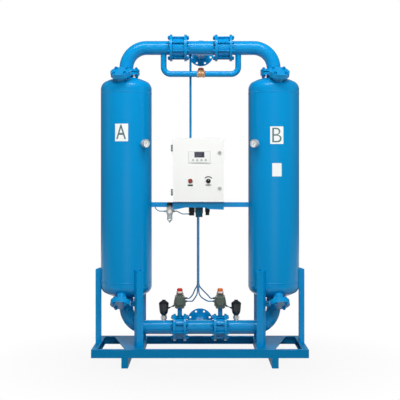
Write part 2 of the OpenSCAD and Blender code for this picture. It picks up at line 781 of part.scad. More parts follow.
// Purge line between the two outlet pipes, with a throttle valve in the middle
module purge_route(radius, extra) {
    bent_bar([[purge_x, 0, outlet_z], [purge_x, 0, purge_z], [purge_valve_half - extra, 0, purge_z]],
        radius, purge_bend);
}
module purge_pipe() {
    color(blue) translate([header_x, 0, 0]) for (side = [-1, 1]) on_side(side) difference() {
        purge_route(purge_od / 2, 0);
        purge_route(purge_od / 2 - purge_wall, over);
        translate([purge_x - purge_od, 0, outlet_z]) rotate([0, 90, 0])
            cylinder(r = pipe_r + seat_gap, h = 2 * purge_od);
    }
}
module purge_valve() {
    hex_r = purge_od / 2 + 4;
    hex_l = 12;
    color(brass) translate([header_x, 0, purge_z]) difference() {
        union() {
            for (side = [-1, 1]) on_side(side) translate([purge_valve_half - hex_l, 0, 0]) rotate([0, 90, 0])
                cylinder(r = hex_r, h = hex_l, $fn = 6);
            translate([-purge_valve_half + hex_l / 2, 0, 0]) rotate([0, 90, 0])
                cylinder(r = hex_r - 2, h = 2 * purge_valve_half - hex_l);
            cylinder(r = hex_r - 3, h = purge_bonnet_h);
        }
        translate([0, 0, purge_stem_r]) cylinder(r = purge_stem_r + fit, h = purge_od);
    }
}
module purge_knob() {
    knob_r = 19;
    knob_h = 11;
    rim_h = 5;
    color(brass) translate([header_x, 0, purge_z]) {
        translate([0, 0, purge_stem_r + bed_gap]) cylinder(r = purge_stem_r, h = purge_bonnet_h);
        translate([0, 0, purge_bonnet_h + over]) difference() {
            union() {
                cylinder(r = knob_r, h = knob_h);
                translate([0, 0, knob_h]) cylinder(r1 = knob_r, r2 = knob_r - rim_h, h = rim_h);
            }
            straddle_ring(8, knob_r + 2) translate([0, 0, -over])
                cylinder(r = 3.5, h = knob_h + rim_h + 2 * over);
        }
    }
}

// Bar between the towers with the tray that carries the control box
module box_bracket() {
    half_span = tower_x;
    color(blue) difference() {
        union() {
            translate([-half_span, -bar_h / 2, bar_top_z - bar_h]) cube([2 * half_span, channel_t, bar_h]);
            translate([-half_span, -bar_h / 2, bar_top_z - channel_t])
                cube([2 * half_span, bar_h, channel_t]);
            translate([box_left, box_front_y, bar_top_z]) cube([box_w, box_d, tray_t]);
            translate([box_left, box_front_y, box_z]) rotate([-90, 0, 0]) linear_extrude(tray_t)
                polygon([[0, 0], [box_w, 0], [box_w, apron_h], [box_w * 0.72, apron_h - 4],
                         [box_w * 0.6, apron_mid_h], [box_w * 0.24, apron_mid_h],
                         [12, apron_h], [0, apron_h]]);
        }
        for (side = [-1, 1]) translate([side * tower_x, 0, bar_top_z - bar_h - over])
            cylinder(r = tower_r + seat_gap, h = bar_h + 2 * over);
    }
}

// Sheet-metal box with a rim round its opening and the fixed hinge knuckles
module hinge_knuckles(z, half_from, half_to, radius) {
    for (end = [-1, 1]) translate([hinge_x, hinge_y, z]) mirror([0, 0, end < 0 ? 1 : 0])
        translate([0, 0, half_from]) cylinder(r = radius, h = half_to - half_from);
}
module box_body() {
    leaf_y = box_front_y + door_gap / 2;
    color(white) {
        difference() {
            translate([box_left, box_front_y, box_z]) cube([box_w, box_d, box_h]);
            translate([box_left + sheet_t, box_front_y + sheet_t, box_z + sheet_t])
                cube([box_w - 2 * sheet_t, box_d - 2 * sheet_t, box_h - 2 * sheet_t]);
            translate([box_left + box_rim, box_front_y - over, box_z + box_rim])
                cube([box_w - 2 * box_rim, sheet_t + 2 * over, box_h - 2 * box_rim]);
        }
        for (z = hinge_heights) {
            hinge_knuckles(z, hinge_mid_l / 2 + 0.5, hinge_l / 2, knuckle_r);
            translate([hinge_x, hinge_y, z - hinge_l / 2]) cylinder(d = hinge_pin_d, h = hinge_l);
            for (end = [-1, 1]) translate([hinge_x, leaf_y, z]) mirror([0, 0, end < 0 ? 1 : 0])
                translate([0, 0, hinge_mid_l / 2 + 0.5])
                    cube([box_left - hinge_x, 24, (hinge_l - hinge_mid_l) / 2 - 0.5]);
        }
    }
}

// Door pan with its cut-outs and the moving hinge knuckles
module box_door() {
    inner_x = box_left + sheet_t;
    color(white) difference() {
        union() {
            difference() {
                translate([box_left, door_front_y, box_z]) cube([box_w, door_d, box_h]);
                translate([inner_x, door_front_y + sheet_t, box_z + sheet_t])
                    cube([box_w - 2 * sheet_t, door_d, box_h - 2 * sheet_t]);
            }
            for (z = hinge_heights) {
                translate([hinge_x, hinge_y, z - hinge_mid_l / 2]) cylinder(r = knuckle_r, h = hinge_mid_l);
                translate([hinge_x - 2, door_front_y + 2, z - hinge_mid_l / 2])
                    cube([box_left - hinge_x + 2 + sheet_t / 2, door_d - 2, hinge_mid_l]);
            }
        }
        for (z = hinge_heights) translate([hinge_x, hinge_y, z - hinge_mid_l / 2 - over])
            cylinder(d = hinge_pin_d + 2 * fit, h = hinge_mid_l + 2 * over);
        for (z = lock_heights) translate([lock_x, door_front_y - over, z]) rotate([-90, 0, 0])
            cylinder(r = lock_hole_r + fit, h = sheet_t + 2 * over);
        for (x = [lamp_x, knob_x]) translate([x, door_front_y - over, panel_row_z]) rotate([-90, 0, 0])
            cylinder(r = panel_hole_r, h = sheet_t + 2 * over);
        translate([display_x - display_body_w / 2 - bed_gap, door_front_y - over,
                   display_z - display_body_h / 2 - bed_gap])
            cube([display_body_w + 2 * bed_gap, sheet_t + 2 * over, display_body_h + 2 * bed_gap]);
    }
}

// Programmable timer with its bezel and screen recess
module controller() {
    screen_w = 63;
    screen_h = 36;
    color([0.9, 0.91, 0.91]) translate([display_x, door_front_y, display_z]) difference() {
        union() {
            translate([-display_w / 2, -bezel_t, -display_h / 2]) cube([display_w, bezel_t, display_h]);
            translate([-display_body_w / 2, -bezel_t, -display_body_h / 2])
                cube([display_body_w, display_body_d, display_body_h]);
        }
        translate([-screen_w / 2, -bezel_t - over, -3]) cube([screen_w, over + 1.5, screen_h]);
    }
}

// Pilot lamp with its body behind the door
module power_lamp() {
    color([0.8, 0.1, 0.08]) translate([lamp_x, door_front_y, panel_row_z]) rotate([90, 0, 0]) {
        translate([0, 0, -30]) cylinder(r = panel_hole_r - bed_gap, h = 30);
        cylinder(r = panel_hole_r + 2.5, h = 3);
        translate([0, 0, 3]) cylinder(r1 = panel_hole_r - 1, r2 = panel_hole_r - 4, h = 7);
    }
}

// Selector switch: a handle on a shaft that turns in the door
module selector_knob() {
    color(dark) translate([knob_x, door_front_y, panel_row_z]) rotate([90, 0, 0]) {
        translate([0, 0, -30]) cylinder(r = panel_hole_r - fit, h = 30);
        cylinder(r = panel_hole_r + 3, h = 5);
        translate([0, 0, 5]) cylinder(r = panel_hole_r, h = 5);
        translate([-4, -panel_hole_r, 10]) cube([8, 2 * panel_hole_r, 9]);
    }
}

// Quarter-turn lock: insert, barrel and cam
module door_lock(z) {
    cam_y = box_front_y + 2 * sheet_t - door_front_y;
    color(steel) translate([lock_x, door_front_y, z]) rotate([-90, 0, 0]) {
        translate([0, 0, -3]) difference() {
            cylinder(r = lock_hole_r + 3, h = 3);
            translate([-6, -1.2, -over]) cube([12, 2.4, 2]);
        }
        cylinder(r = lock_hole_r, h = 14);
        cylinder(r = 5, h = cam_y + 3);
        translate([-5, -5, cam_y]) cube([10, lock_cam_l + 5, 3]);
    }
}

// Filter regulator hung on the cross bar, its clear bowl and its setting knob
module frl_place() {
    translate([frl_x, frl_y, frl_body_z]) children();
}
module filter_regulator() {
    color(steel) frl_place() difference() {
        union() {
            translate([-frl_w / 2, -frl_w / 2, 0]) cube([frl_w, frl_w, frl_body_h]);
            translate([0, 0, frl_body_h]) cylinder(r = frl_w / 2 - 2, h = 10);
            translate([0, -frl_w / 2, frl_port_z]) rotate([90, 0, 0]) cylinder(r = 5, h = 4);
            translate([0, -frl_w / 2 - 3, frl_port_z]) rotate([90, 0, 0]) cylinder(r = 14, h = 9);
            for (side = [-1, 1]) on_side(side) translate([frl_w / 2, 0, frl_port_z]) rotate([0, 90, 0])
                cylinder(r = 7, h = frl_fitting, $fn = 6);
        }
        translate([0, 0, frl_body_h - 6]) cylinder(r = 4 + fit, h = 20);
    }
}
module filter_bowl() {
    bowl_r = frl_w / 2 - 3;
    color([0.75, 0.78, 0.8]) frl_place() rotate_extrude()
        polygon([[0, 0], [bowl_r, 0], [bowl_r, -34], [bowl_r - 4, -42], [5, -48], [5, -56], [0, -56]]);
}
module regulator_knob() {
    knob_r = frl_w / 2 - 4;
    color(dark) frl_place() translate([0, 0, frl_body_h + 10 + bed_gap]) {
        translate([0, 0, -14]) cylinder(r = 4, h = 15);
        difference() {
            union() {
                cylinder(r = knob_r, h = 18);
                translate([0, 0, 18]) cylinder(r1 = knob_r, r2 = knob_r - 3, h = 4);
            }
            straddle_ring(12, knob_r + 1) translate([0, 0, 3]) cylinder(r = 2, h = 24);
        }
    }
}

// Pressure gauges, each on a stem that points out of its tower
module gauge_frame(side) {
    on_side(side) translate([tower_x, 0, gauge_z]) rotate([0, 0, -gauge_turn])
        translate([0, -tower_r - gauge_stand, 0]) rotate([90, 0, 0]) children();
}
module gauges() {
    color(steel) for (side = [-1, 1]) difference() {
        gauge_frame(side) {
            translate([0, 0, -gauge_stand - 4]) cylinder(r = 7, h = gauge_stand + 6);
            translate([0, 0, -12]) cylinder(r = 10, h = 12, $fn = 6);
            difference() {
                union() {
                    cylinder(r = gauge_r - 1, h = gauge_depth);
                    translate([0, 0, gauge_depth - 7]) cylinder(r = gauge_r + 1, h = 7);
                }
                translate([0, 0, gauge_depth - dial_recess])
                    cylinder(r = gauge_r - 2, h = dial_recess + over);
            }
            translate([0, 0, gauge_depth - dial_recess - over]) cylinder(r = 1.5, h = 5);
        }
        translate([side * tower_x, 0, gauge_z - gauge_d]) cylinder(r = tower_r + seat_gap, h = 2 * gauge_d);
    }
}
module gauge_needle(side) {
    color(dark) gauge_frame(side) translate([0, 0, gauge_depth - dial_recess + 1]) difference() {
        union() {
            cylinder(r = 3, h = needle_t);
            rotate([0, 0, side > 0 ? -40 : 40]) linear_extrude(needle_t)
                polygon([[-1.4, -8], [1.4, -8], [0.5, gauge_r - 5], [-0.5, gauge_r - 5]]);
        }
        translate([0, 0, -over]) cylinder(r = 1.5 + fit, h = needle_t + 2 * over);
    }
}

// Solenoid valves on a manifold under the tray, each with its coil below
module solenoid_valves() {
    manifold_w = 150;
    manifold_d = 40;
    valve_d = 32;
    color(dark) {
        translate([box_x - manifold_w / 2 + 5, island_y - manifold_d / 2, island_z])
            cube([manifold_w, manifold_d, bar_top_z - island_z]);
        for (slot = island_slots) {
            body_h = slot[2] * 0.6;
            translate([slot[0], island_y - valve_d / 2, island_z - body_h]) cube([slot[1], valve_d, body_h]);
            translate([slot[0] + coil_inset, island_y - valve_d / 2 + coil_inset, island_z - slot[2]])
                cube([slot[1] - 2 * coil_inset, valve_d - 2 * coil_inset, slot[2]]);
        }
    }
}

// Smooth route through a list of points
function spline(a, b, c, d, t) = 0.5 * (2 * b + (c - a) * t + (2 * a - 5 * b + 4 * c - d) * t * t
    + (3 * b - a - 3 * c + d) * t * t * t);
function smooth(p, steps) = [for (i = [0:len(p) - 2]) for (j = [0:steps - 1])
    spline(p[max(i - 1, 0)], p[i], p[i + 1], p[min(i + 2, len(p) - 1)], j / steps), p[len(p) - 1]];
function heading(p, i) = unit(p[min(i + 1, len(p) - 1)] - p[max(i - 1, 0)]);
function ring_point(p, i, angle, radius) =
    let (t = heading(p, i), n = unit(cross(t, [0, 1, 0])), m = cross(t, n)) p[i] + radius * (cos(angle) * n + sin(angle) * m);

// Tube of many-sided rings along a route that keeps away from the Y direction
module air_tube(points, radius) {
    sides = 10;
    route = smooth(points, 5);
    last = len(route) - 1;
    corners = [for (i = [0:last]) for (k = [0:sides - 1]) ring_point(route, i, k * 360 / sides, radius)];
    skin = [for (i = [0:last - 1]) for (k = [0:sides - 1]) let (n = (k + 1) % sides)
        each [[i * sides + k, i * sides + n, (i + 1) * sides + n],
              [i * sides + k, (i + 1) * sides + n, (i + 1) * sides + k]]];
    polyhedron(concat(corners), concat(skin, [[for (k = [sides - 1:-1:0]) k]],
        [[for (k = [0:sides - 1]) last * sides + k]]));
}

// Tubes from the valves to the actuators, on to the exhaust heads, and on both sides of the filter regulator
module air_tubes() {
    port_x = butterfly_x - actuator_w / 2 - air_boss - tube_gap;
    bundle_x = box_x - 2;
    packed = tube_r + tube_gap;
    drop_z = island_z - island_slots[1][2] - tube_gap;
    pilot = unit(pilot_to - pilot_from);
    frl_z = frl_body_z + frl_port_z;
    frl_end = frl_w / 2 + frl_fitting + tube_gap;
    coil_x = island_slots[0][0] + coil_inset - tube_gap;
    color([0.05, 0.3, 0.75]) {
        for (side = [-1, 1]) for (row = [0, 1]) let (
            x = bundle_x + side * packed,
            y = island_y + (row == 0 ? packed : -packed),
            end = [side * port_x, actuator_ports[row][0], actuator_mid_z + actuator_ports[row][1]],
            split_z = end[2] + (row == 0 ? 88 : 52)
        )
            air_tube([[x, y, drop_z], [x, y, drop_z - 80], [x, y, split_z + 80], [x, y, split_z + 24],
                      [x + 0.01 * (end[0] - x), y + 0.02 * (end[1] - y), split_z + 8],
                      [x + 0.06 * (end[0] - x), y + 0.1 * (end[1] - y), split_z - 8],
                      [x + 0.22 * (end[0] - x), y + 0.3 * (end[1] - y), split_z - 28],
                      [end[0] - side * 40, end[1] - 2, end[2] + (row == 0 ? 22 : 2)],
                      [end[0] - side * 20, end[1], end[2]],
                      [end[0] - side * 9, end[1], end[2]], end], tube_r);
        for (side = [-1, 1]) on_side(side)
            air_tube([pilot_from + (pilot_boss + tube_gap) * pilot,
                      pilot_to - (exhaust_head_r + air_boss + tube_gap) * pilot], tube_r * 0.75);
        air_tube([[frl_x + frl_end, frl_y, frl_z], [frl_x + frl_end + 8, frl_y, frl_z],
                  [frl_x + frl_end + 18, frl_y, frl_z], [frl_x + frl_end + 50, frl_y, frl_z - 16],
                  [coil_x - 18, island_y, island_z - 44], [coil_x - 8, island_y, island_z - 44],
                  [coil_x, island_y, island_z - 44]], tube_r * 0.75);
        air_tube([[frl_x - frl_end, frl_y, frl_z], [frl_x - frl_end - 6, frl_y, frl_z],
                  [frl_x - frl_end - 14, frl_y, frl_z],
                  [frl_x - frl_end - 40, frl_y + 8, frl_z + 2], [frl_x - frl_end - 60, -8, frl_z + 14],
                  [frl_x - frl_end - 66, 2, bar_top_z - channel_t - 24],
                  [frl_x - frl_end - 66, 2, bar_top_z - channel_t - tube_gap]], tube_r * 0.75);
    }
}

// Conduit with the cables from the outlet header down to the box
module cable_conduit() {
    color(blue) difference() {
        translate([conduit_x, conduit_y, box_z + box_h])
            cylinder(d = conduit_d, h = outlet_z - box_z - box_h);
        translate([-outlet_half, 0, outlet_z]) rotate([0, 90, 0])
            cylinder(r = pipe_r + seat_gap, h = 2 * outlet_half);
    }
}

skid_long_beam(-1);  // skid_front_beam
skid_long_beam(1);  // skid_rear_beam
skid_side_beam(-1);  // skid_left_beam
skid_side_beam(1);  // skid_right_beam
skid_runners();
bearer(-1);  // bearer_A
bearer(1);  // bearer_B
tower_legs(-1);  // tower_A_legs
tower_legs(1);  // tower_B_legs
vessel(-1);  // vessel_A
vessel(1);  // vessel_B
desiccant_bed(-1);  // desiccant_bed_A
desiccant_bed(1);  // desiccant_bed_B
bed_screens();
port_covers(false);  // fill_covers
port_covers(true);  // drain_covers
port_bolts();
outlet_pipe(-1);  // outlet_pipe_A
outlet_pipe(1);  // outlet_pipe_B
check_valve(-1);  // check_valve_A
check_valve(1);  // check_valve_B
check_plate(-1);  // check_plate_A
check_plate(1);  // check_plate_B
outlet_header();
outlet_bolts();
inlet_pipe(-1);  // inlet_pipe_A
inlet_pipe(1);  // inlet_pipe_B
butterfly_valve(-1);  // butterfly_valve_A
butterfly_valve(1);  // butterfly_valve_B
butterfly_disc(-1);  // butterfly_disc_A
butterfly_disc(1);  // butterfly_disc_B
actuator(-1);  // actuator_A
actuator(1);  // actuator_B
indicator(-1);  // indicator_A
indicator(1);  // indicator_B
inlet_header();
inlet_bolts();
exhaust_valves();
exhaust_heads();
purge_pipe();
purge_valve();
purge_knob();
box_bracket();
box_body();
box_door();
controller();
power_lamp();
selector_knob();
door_lock(lock_heights[1]);  // door_lock_upper
door_lock(lock_heights[0]);  // door_lock_lower
filter_regulator();
filter_bowl();
regulator_knob();
gauges();
gauge_needle(-1);  // gauge_needle_A
gauge_needle(1);  // gauge_needle_B
solenoid_valves();
air_tubes();
cable_conduit();
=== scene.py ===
"""Looks of the twin-tower air dryer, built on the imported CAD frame. Metres, +Z up, front at -Y."""
import math

import bmesh
import bpy
from mathutils import Matrix, Vector


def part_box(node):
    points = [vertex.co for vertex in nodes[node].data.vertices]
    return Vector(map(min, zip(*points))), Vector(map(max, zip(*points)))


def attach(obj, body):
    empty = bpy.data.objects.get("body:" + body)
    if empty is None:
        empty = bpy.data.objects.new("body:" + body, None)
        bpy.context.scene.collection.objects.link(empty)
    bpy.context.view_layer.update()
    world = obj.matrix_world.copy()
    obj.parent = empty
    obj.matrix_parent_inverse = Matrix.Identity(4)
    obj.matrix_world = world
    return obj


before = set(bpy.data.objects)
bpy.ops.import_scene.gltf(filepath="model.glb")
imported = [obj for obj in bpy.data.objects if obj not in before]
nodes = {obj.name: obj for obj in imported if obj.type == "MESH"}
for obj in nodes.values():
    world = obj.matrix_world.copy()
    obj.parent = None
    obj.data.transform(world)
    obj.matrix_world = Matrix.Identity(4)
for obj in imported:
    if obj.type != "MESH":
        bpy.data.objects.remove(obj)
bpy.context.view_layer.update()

# Places that the CAD part fixes
TOWER_X = 0.470
TOWER_R = 0.1625
PIPE_R = 0.0445
FLANGE = 0.018
OUTLET_Z = 1.99288
INLET_Z = 0.21112
GAUGE_Z = 1.378
GAUGE_TURN = math.radians(40)
GAUGE_DIAL = 0.2085
DOOR_FRONT = -0.112
DISPLAY = Vector((-0.004, -0.115, 1.294))
PANEL_Z = 1.144
LAMP_X = -0.061
KNOB_X = 0.052
HINGE = Vector((-0.177, -0.091, 0))
HINGE_LEAF = -0.019
HINGE_HEIGHTS = (1.073, 1.351)
BUTTERFLY_X = 0.129
ACTUATOR_MID = 0.38312
INDICATOR_Z = 0.42812
PILOT_FROM = Vector((0.156, -0.016, 0.35412))
PILOT_TO = Vector((0.231, -0.010, 0.32262))
REGULATOR = Vector((-0.192, -0.0355, 0.935))


# Materials

def new_group(name, inputs, outputs):
    group = bpy.data.node_groups.new(name, "ShaderNodeTree")
    for label, kind, value in inputs:
        socket = group.interface.new_socket(name=label, in_out="INPUT", socket_type=kind)
        socket.default_value = value
    for label, kind in outputs:
        group.interface.new_socket(name=label, in_out="OUTPUT", socket_type=kind)
    return group


def coating_group():
    """Colour drift, roughness drift and a fine bump, for paint, plastic and cast metal."""
    group = new_group(
        "coating",
        [("Color", "NodeSocketColor", (0.5, 0.5, 0.5, 1)), ("Drift", "NodeSocketFloat", 0.08),
         ("Roughness", "NodeSocketFloat", 0.4), ("Roughness drift", "NodeSocketFloat", 0.08),
         ("Grain", "NodeSocketFloat", 400.0), ("Bump", "NodeSocketFloat", 0.05)],
        [("Color", "NodeSocketColor"), ("Roughness", "NodeSocketFloat"), ("Normal", "NodeSocketVector")])
    n = group.nodes
    link = group.links.new
    gin = n.new("NodeGroupInput")
    gout = n.new("NodeGroupOutput")
    coord = n.new("ShaderNodeTexCoord")
    broad = n.new("ShaderNodeTexNoise")
    fine = n.new("ShaderNodeTexNoise")
    broad.inputs["Scale"].default_value = 5.0
    broad.inputs["Detail"].default_value = 5.0
    fine.inputs["Detail"].default_value = 3.0
    for tex in (broad, fine):
        link(coord.outputs["Object"], tex.inputs["Vector"])
    link(gin.outputs["Grain"], fine.inputs["Scale"])

    def swing(amount, middle):
        """The broad noise as a swing of the given amount about a middle value."""
        minus = n.new("ShaderNodeMath")
        minus.operation = "SUBTRACT"
        minus.inputs[1].default_value = 0.5
        link(broad.outputs["Fac"], minus.inputs[0])
        swung = n.new("ShaderNodeMath")
        swung.operation = "MULTIPLY_ADD"
        swung.inputs[2].default_value = 1.0
        link(minus.outputs[0], swung.inputs[0])
        link(amount, swung.inputs[1])
        if middle:
            link(middle, swung.inputs[2])
        return swung.outputs[0]

    hue = n.new("ShaderNodeHueSaturation")
    link(swing(gin.outputs["Drift"], None), hue.inputs["Value"])
    link(gin.outputs["Color"], hue.inputs["Color"])
    link(hue.outputs[0], gout.inputs["Color"])
    link(swing(gin.outputs["Roughness drift"], gin.outputs["Roughness"]), gout.inputs["Roughness"])
    bump = n.new("ShaderNodeBump")
    bump.inputs["Distance"].default_value = 0.001
    link(gin.outputs["Bump"], bump.inputs["Strength"])
    link(fine.outputs["Fac"], bump.inputs["Height"])
    link(bump.outputs[0], gout.inputs["Normal"])
    return group


COATING = coating_group()


def finish(name, color, rough=0.4, metal=0.0, drift=0.08, rough_drift=0.1, grain=400.0, bump=0.05,
           spec=0.5, **shader):
    """Principled material whose colour, roughness and surface come from the coating group."""
    mat = bpy.data.materials.new(name)
    mat.use_nodes = True
    tree = mat.node_tree
    bsdf = tree.nodes["Principled BSDF"]
    group = tree.nodes.new("ShaderNodeGroup")
    group.node_tree = COATING
    for label, value in (("Color", (*color, 1)), ("Drift", drift), ("Roughness", rough),
                         ("Roughness drift", rough_drift), ("Grain", grain), ("Bump", bump)):
        group.inputs[label].default_value = value
    if drift:
        tree.links.new(group.outputs["Color"], bsdf.inputs["Base Color"])
    else:
        bsdf.inputs["Base Color"].default_value = (*color, 1)
    tree.links.new(group.outputs["Roughness"], bsdf.inputs["Roughness"])
    if bump:
        tree.links.new(group.outputs["Normal"], bsdf.inputs["Normal"])
    bsdf.inputs["Metallic"].default_value = metal
    bsdf.inputs["Specular IOR Level"].default_value = spec
    for label, value in shader.items():
        bsdf.inputs[label.replace("_", " ")].default_value = value
    return mat


BLUE = finish("blue_enamel", (0.0, 0.265, 0.610), 0.22, drift=0.05, rough_drift=0.02, grain=260, bump=0.015,
              spec=0.3)
# Matt frame enamel for the skid and bearers. Its colour is the towers' blue darkened as painted shade, for
# the dimmer light the frame gets low down; only the matt roughness and lower gloss are real.
FRAME_BLUE_PAINTED_SHADE = finish("matt_frame_enamel_painted_shade", (0.0, 0.19, 0.43), 0.5, drift=0.1, grain=320, bump=0.06, spec=0.15)
BLUE_BOLT = finish("blue_bolt_enamel", (0.0, 0.225, 0.53), 0.34, drift=0.1, grain=500, bump=0.12, spec=0.14)
WHITE = finish("white_powder_coat", (0.90, 0.905, 0.90), 0.42, drift=0.02, grain=900, bump=0.1, spec=0.4)
STEEL = finish("bright_steel", (0.68, 0.69, 0.69), 0.30, metal=0.6, drift=0.1, grain=700, bump=0.08)
ALLOY = finish("die_cast_alloy", (0.60, 0.62, 0.63), 0.42, metal=0.45, drift=0.1, grain=900, bump=0.15)
OLIVE = finish("anodised_olive", (0.115, 0.145, 0.125), 0.38, metal=0.35, drift=0.1, grain=800, bump=0.12)
BLACK = finish("black_plastic", (0.012, 0.014, 0.016), 0.4, drift=0.2, grain=1200, bump=0.15)
HEAD = finish("black_gloss_plastic", (0.012, 0.016, 0.018), 0.2, drift=0.15, rough_drift=0.06, grain=900,
              bump=0.04)
BRASS = finish("cast_brass", (0.62, 0.35, 0.20), 0.36, metal=0.5, drift=0.2, grain=600, bump=0.2)
KNOB_RED = finish("red_brown_handwheel", (0.20, 0.055, 0.03), 0.42, drift=0.15, grain=700, bump=0.15)
RED = finish("red_cap_plastic", (0.62, 0.035, 0.02), 0.3, drift=0.1, grain=900, bump=0.05, Coat_Weight=0.2)
ORANGE = finish("orange_cap_plastic", (0.78, 0.16, 0.03), 0.3, drift=0.1, grain=900, bump=0.05,
                Coat_Weight=0.2)
COLLAR = finish("pale_collar_plastic", (0.80, 0.66, 0.63), 0.35, drift=0.06, grain=900, bump=0.05)
LAMP = finish("red_lamp_lens", (0.30, 0.05, 0.04), 0.22, drift=0.1, grain=600, bump=0.05, Coat_Weight=0.4)
BOWL = finish("smoky_bowl", (0.55, 0.6, 0.62), 0.16, drift=0.05, grain=300, bump=0.03,
              Transmission_Weight=0.6)
TUBE = finish("blue_tube", (0.0, 0.175, 0.42), 0.28, drift=0.06, grain=300, bump=0.03, Coat_Weight=0.15)
BEADS = finish("desiccant_beads", (0.8, 0.77, 0.7), 0.8, drift=0.1, grain=250, bump=0.9)
LABEL = finish("white_label", (0.88, 0.9, 0.9), 0.45, drift=0.02, grain=1200, bump=0.03)
BEZEL = finish("pale_bezel", (0.86, 0.875, 0.87), 0.5, drift=0.03, grain=1500, bump=0.08)
INK = finish("plate_ink", (0.085, 0.165, 0.19), 0.6, drift=0.12, grain=900, bump=0.05)
MARK = finish("dark_mark", (0.03, 0.034, 0.036), 0.6, drift=0.12, grain=900, bump=0.05)
GREEN = finish("dark_green_plate", (0.02, 0.07, 0.05), 0.5, drift=0.15, grain=900, bump=0.05)
GREY = finish("grey_plate", (0.23, 0.25, 0.26), 0.5, drift=0.1, grain=900, bump=0.05)
PALE_MARK = finish("pale_mark", (0.42, 0.44, 0.44), 0.6, drift=0.1, grain=900, bump=0.05)
SCREEN = finish("lcd_screen", (0.055, 0.058, 0.085), 0.2, drift=0.15, grain=500, bump=0.02, spec=0.3)
SEGMENT = finish("lcd_segment", (0.13, 0.14, 0.165), 0.4, drift=0.1, grain=900, bump=0.02)
GLASS = finish("gauge_glass", (1, 1, 1), 0.06, drift=0.0, rough_drift=0.04, grain=200, bump=0.0, Alpha=0.12)


def coil_finish():
    """Black plastic with the middle coil, between two places along X, in teal."""
    mat = finish("solenoid_plastic", (0.012, 0.014, 0.016), 0.42, drift=0.2, grain=1200, bump=0.15)
    tree = mat.node_tree
    group = tree.nodes["Group"]
    coord = tree.nodes.new("ShaderNodeTexCoord")
    split = tree.nodes.new("ShaderNodeSeparateXYZ")
    near = tree.nodes.new("ShaderNodeMath")
    near.operation = "COMPARE"
    near.inputs[1].default_value = -0.006
    near.inputs[2].default_value = 0.0256
    pick = tree.nodes.new("ShaderNodeMix")
    pick.data_type = "RGBA"
    pick.inputs["A"].default_value = (0.012, 0.014, 0.016, 1)
    pick.inputs["B"].default_value = (0.0, 0.075, 0.14, 1)
    tree.links.new(coord.outputs["Object"], split.inputs[0])
    tree.links.new(split.outputs["X"], near.inputs[0])
    tree.links.new(near.outputs[0], pick.inputs["Factor"])
    tree.links.new(pick.outputs["Result"], group.inputs["Color"])
    return mat


COILS = coil_finish()

by_material = {
    WHITE: ["box_body", "box_door"],
    STEEL: ["bed_screens", "exhaust_valves", "check_plate_A", "check_plate_B", "butterfly_disc_A",
            "butterfly_disc_B"],
    ALLOY: ["filter_regulator", "gauges", "door_lock_upper", "door_lock_lower"],
    OLIVE: ["actuator_A", "actuator_B"],
    HEAD: ["exhaust_heads"],
    BLACK: ["selector_knob", "regulator_knob", "gauge_needle_A", "gauge_needle_B"],
    BRASS: ["purge_valve"],
    KNOB_RED: ["purge_knob"],
    RED: ["indicator_A"],
    ORANGE: ["indicator_B"],
    LAMP: ["power_lamp"],
    BOWL: ["filter_bowl"],
    # The cable conduit is a blue plastic tube; the darker tube blue on it is also painted shade, for the
    # shade it hangs in.
    TUBE: ["air_tubes", "cable_conduit"],
    COILS: ["solenoid_valves"],
    BEADS: ["desiccant_bed_A", "desiccant_bed_B"],
    BEZEL: ["controller"],
    # The skid beams, runners and bearers take the frame blue that is darkened as painted shade.
    FRAME_BLUE_PAINTED_SHADE: ["skid_front_beam", "skid_rear_beam", "skid_left_beam", "skid_right_beam", "skid_runners",
                 "bearer_A", "bearer_B"],
    BLUE_BOLT: ["outlet_bolts", "inlet_bolts", "port_bolts"]}
chosen = {name: mat for mat, names in by_material.items() for name in names}
for name, obj in nodes.items():
    obj.data.materials.clear()
    obj.data.materials.append(chosen.get(name, BLUE))


# Shapes. Each starts as a small bmesh, is shaped by operators and joins the piece at its place.

def join(piece, part, place=Matrix()):
    """Closes a part's seams, turns its faces outwards and adds it to the piece."""
    bmesh.ops.remove_doubles(part, verts=part.verts, dist=1e-7)
    bmesh.ops.recalc_face_normals(part, faces=part.faces)
    bmesh.ops.transform(part, matrix=place, verts=part.verts)
    mesh = bpy.data.meshes.new("part")
    part.to_mesh(mesh)
    part.free()
    piece.from_mesh(mesh)
    bpy.data.meshes.remove(mesh)


def turned(piece, place, profile, steps=48):
    """Spins an outline of (radius, height) about the local Z axis."""
    part = bmesh.new()
    verts = [part.verts.new((r, 0, h)) for r, h in profile]
    edges = [part.edges.new(pair) for pair in zip(verts, verts[1:])]
    bmesh.ops.spin(part, geom=verts + edges, cent=(0, 0, 0), axis=(0, 0, 1), angle=math.tau, steps=steps,
                   use_merge=True)
    join(piece, part, place)


def flat(w, h, t, corner=0.0):
    """Plate of width w, height h and thickness t on the local XY plane, with rounded corners."""
    part = bmesh.new()
    block = Matrix.Translation((0, 0, t / 2)) @ Matrix.Diagonal((w, h, t, 1))
    bmesh.ops.create_cube(part, size=1, matrix=block)
    if corner:
        upright = [e for e in part.edges if abs(e.verts[0].co.z - e.verts[1].co.z) > t / 2]
        bmesh.ops.bevel(part, geom=upright, offset=corner, offset_type="OFFSET", affect="EDGES", segments=4,
                        profile=0.5, material=-1)
    return part


def slab(piece, place, x, y, z, w, h, t, corner=0.0):
    """Adds a plate whose back is centred at x, y, z of the place."""
    join(piece, flat(w, h, t, corner), place @ Matrix.Translation((x, y, z)))


